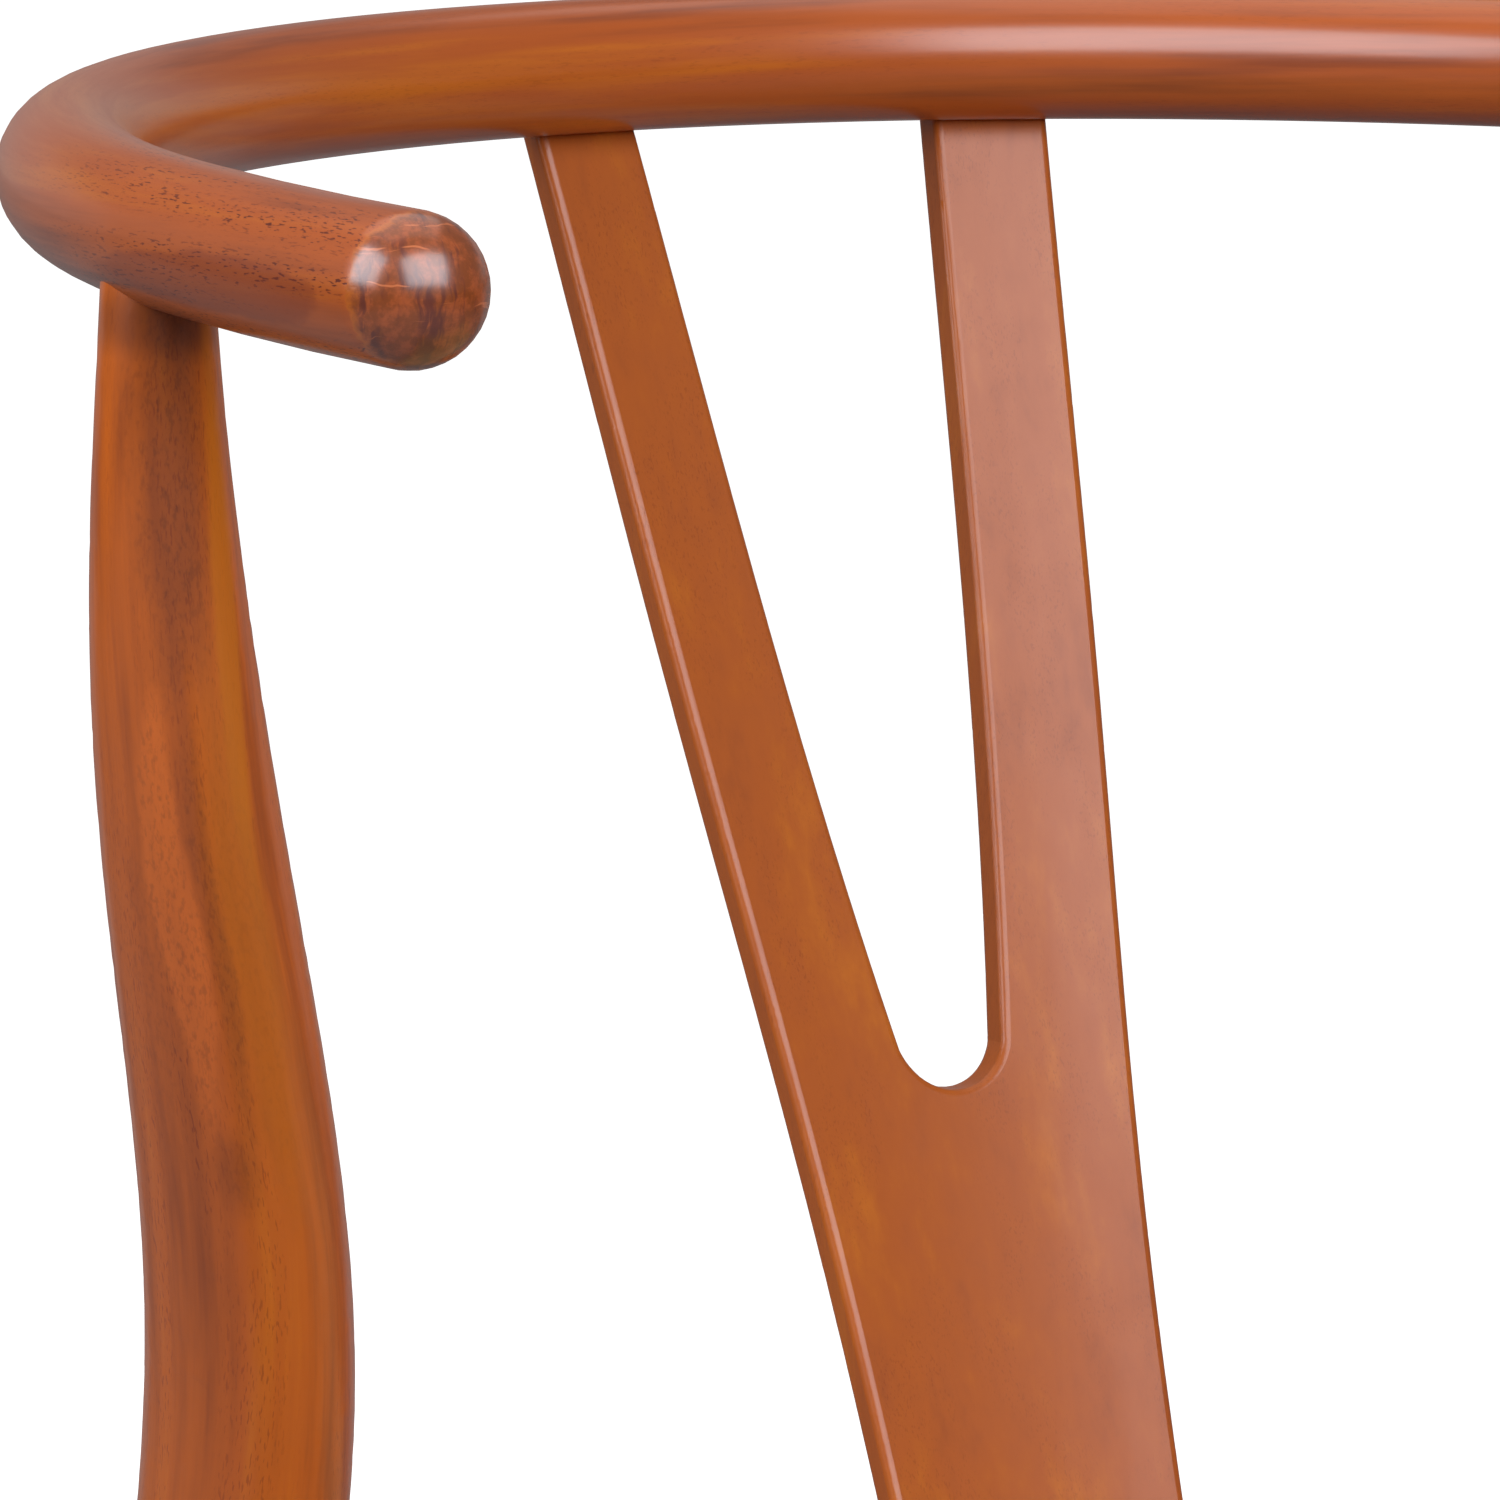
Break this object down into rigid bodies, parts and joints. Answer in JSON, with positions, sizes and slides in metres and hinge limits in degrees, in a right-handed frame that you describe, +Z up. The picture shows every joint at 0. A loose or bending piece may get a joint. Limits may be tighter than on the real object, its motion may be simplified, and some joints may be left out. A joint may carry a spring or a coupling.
{
  "type": "dining armchair",
  "caption": "Wooden dining armchair with a bent horseshoe top rail, a forked Y-shaped back splat, turned legs, stretchers and a woven paper cord seat.",
  "frame": {"origin": "on the floor, at the middle of the chair's outline", "axes": "+Z up, the sitter faces -Y, left in the node names is the -X side, which is on the left as seen from in front"},
  "size_m": [0.5516, 0.5101, 0.7599],
  "materials": {
    "top_rail": "stained and lacquered, satin",
    "back_splat": "stained and lacquered, satin",
    "legs": "stained and lacquered, satin",
    "seat_frame": "stained and lacquered, satin",
    "stretchers": "stained and lacquered, satin",
    "paper_cord": "twisted paper cord, matte",
    "card": "plain, matte",
    "glides": "natural nylon",
    "nails": "bright steel"
  },
  "bodies": {
    "root": {"top_rail": "top_rail", "back_splat": "back_splat", "rear_leg_left": "legs", "rear_leg_right": "legs", "front_leg_left": "legs", "front_leg_right": "legs", "seat_rail_front": "seat_frame", "seat_rail_rear": "seat_frame", "seat_rail_left": "seat_frame", "seat_rail_right": "seat_frame", "stretcher_front": "stretchers", "stretcher_rear": "stretchers", "stretcher_left": "stretchers", "stretcher_right": "stretchers", "seat_weave": "paper_cord", "seat_insert_front": "card", "seat_insert_rear": "card", "seat_insert_left": "card", "seat_insert_right": "card", "foot_glide_front_left": "glides", "foot_glide_front_right": "glides", "foot_glide_rear_left": "glides", "foot_glide_rear_right": "glides", "glide_nails": "nails", "cord_nails": "nails", "cord_tacks": "nails"}
  },
  "joints": []
}
